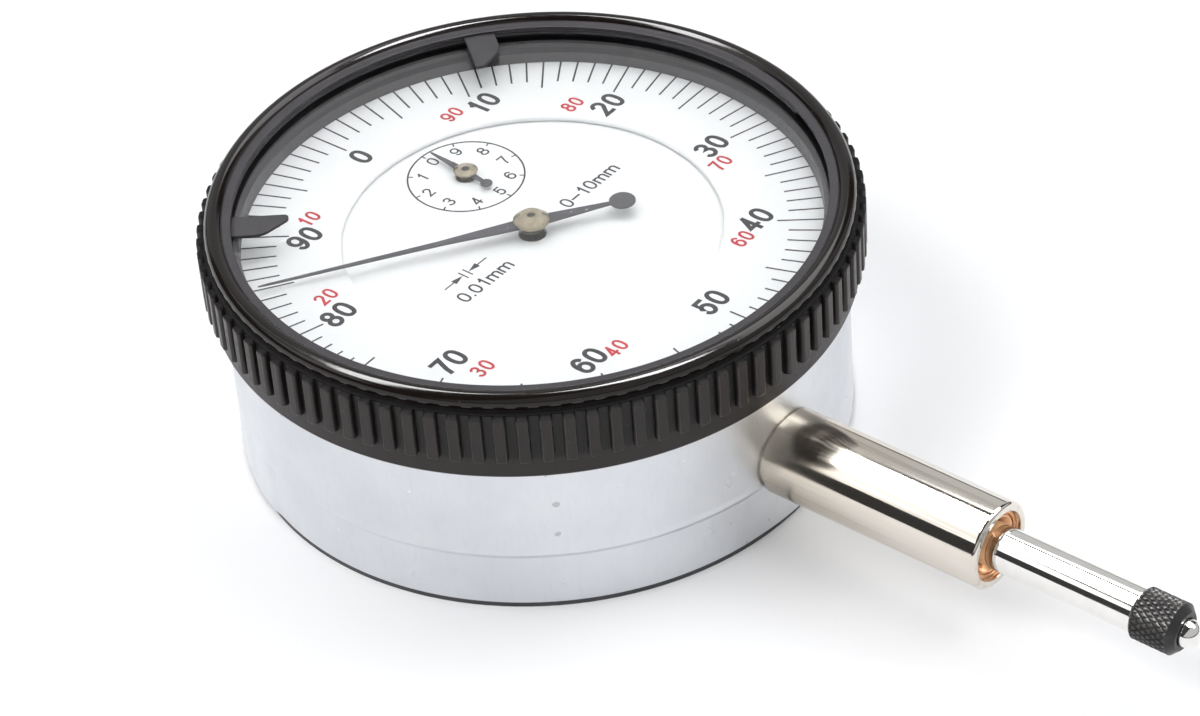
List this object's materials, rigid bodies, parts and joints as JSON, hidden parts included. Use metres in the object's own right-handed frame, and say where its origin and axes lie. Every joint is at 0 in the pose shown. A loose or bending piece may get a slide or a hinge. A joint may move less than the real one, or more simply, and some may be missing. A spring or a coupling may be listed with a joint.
{
  "type": "dial indicator",
  "caption": "Plunger dial indicator with a ribbed turning bezel, round white dial, turn counter, limit hands, clamping stem and a spring-returned spindle.",
  "frame": {"origin": "centre of the flat back, on the dial's axis", "axes": "+Z along the dial's axis towards the reader, -Y along the stem towards the contact ball, +Y towards 12 o'clock, +X towards 3 o'clock"},
  "size_m": [0.0592, 0.1046, 0.0241],
  "materials": {
    "bezel_black": "moulded black, glossy bead, satin ribs",
    "black_oxide": "black oxide, knurled",
    "brass": "turned brass",
    "bright_chrome": "polished nickel-chrome plate",
    "bronze": "plain bronze",
    "cover_black": "satin black enamel",
    "crystal_clear": "clear polished",
    "dial_white": "matt white lacquer on sheet metal",
    "hand_black": "black enamel",
    "hard_steel": "ground and polished hardened steel",
    "hub_nickel": "polished nickel over brass",
    "ring_black": "satin dark grey",
    "satin_chrome": "satin chrome plate, blue-grey",
    "screw_steel": "plain steel",
    "spring_steel": "drawn spring steel"
  },
  "bodies": {
    "case": {"case": "satin_chrome", "back_cover": "cover_black", "cover_screws": "screw_steel", "stem": "bright_chrome", "stem_bush": "bronze", "top_bush": "bronze", "dust_cap": "bright_chrome", "front_plate": "brass", "front_plate_screws": "screw_steel", "mid_plate": "brass", "plate_pillars": "brass", "pillar_screws": "screw_steel", "pinion_bridge": "brass", "bridge_posts": "brass", "bridge_screws": "screw_steel", "guide_rail": "brass", "rail_screws": "screw_steel", "spring_post": "screw_steel", "return_spring": "spring_steel", "hairspring": "spring_steel", "hairspring_stud": "brass", "inner_dial": "dial_white", "bezel_wire": "spring_steel"},
    "bezel": {"bezel": "bezel_black", "crystal": "crystal_clear", "spacer_ring": "ring_black", "scale_ring": "dial_white", "dial_retainer": "ring_black"},
    "limit_left": {"limit_hand_left": "ring_black"},
    "limit_right": {"limit_hand_right": "ring_black"},
    "plunger": {"spindle": "hard_steel", "guide_pin": "hard_steel", "contact_holder": "black_oxide", "contact_ball": "hard_steel"},
    "transfer": {"rack_pinion": "hard_steel", "transfer_gear": "brass"},
    "pointer": {"centre_pinion": "hard_steel", "main_hand": "hand_black", "main_hub": "hub_nickel"},
    "counter": {"counter_arbor": "hard_steel", "counter_gear": "brass", "hairspring_collet": "brass", "counter_hand": "hand_black", "counter_hub": "hub_nickel"}
  },
  "joints": [
    {"name": "spindle_slide", "type": "slide", "parent": "case", "child": "plunger", "axis": [0, 1, 0], "range_m": [0, 0.0103], "stiffness_N_per_m": 55, "springref_m": -0.012, "deforming": ["return_spring"]},
    {"name": "bezel_turn", "type": "hinge", "parent": "case", "child": "bezel", "pos_m": [0, 0, 0.017], "axis": [0, 0, 1], "continuous": true},
    {"name": "limit_left_turn", "type": "hinge", "parent": "bezel", "child": "limit_left", "pos_m": [0, 0, 0.0228], "axis": [0, 0, 1], "continuous": true},
    {"name": "limit_right_turn", "type": "hinge", "parent": "bezel", "child": "limit_right", "pos_m": [0, 0, 0.0232], "axis": [0, 0, 1], "continuous": true},
    {"name": "transfer_turn", "type": "hinge", "parent": "case", "child": "transfer", "pos_m": [-0.00317, -0.01047, 0.012], "axis": [0, 0, 1], "range_deg": [0, 371.3]},
    {"name": "pointer_turn", "type": "hinge", "parent": "case", "child": "pointer", "pos_m": [0, 0, 0.012], "axis": [0, 0, 1], "range_deg": [-3708.5, 0]},
    {"name": "counter_turn", "type": "hinge", "parent": "case", "child": "counter", "pos_m": [0.00317, 0.01047, 0.012], "axis": [0, 0, 1], "range_deg": [0, 371.3]}
  ],
  "couplings": [
    {"joint": "transfer_turn", "follows": "spindle_slide", "rad_per_m": 628.32},
    {"joint": "pointer_turn", "follows": "spindle_slide", "rad_per_m": -6283.2},
    {"joint": "counter_turn", "follows": "spindle_slide", "rad_per_m": 628.32}
  ]
}
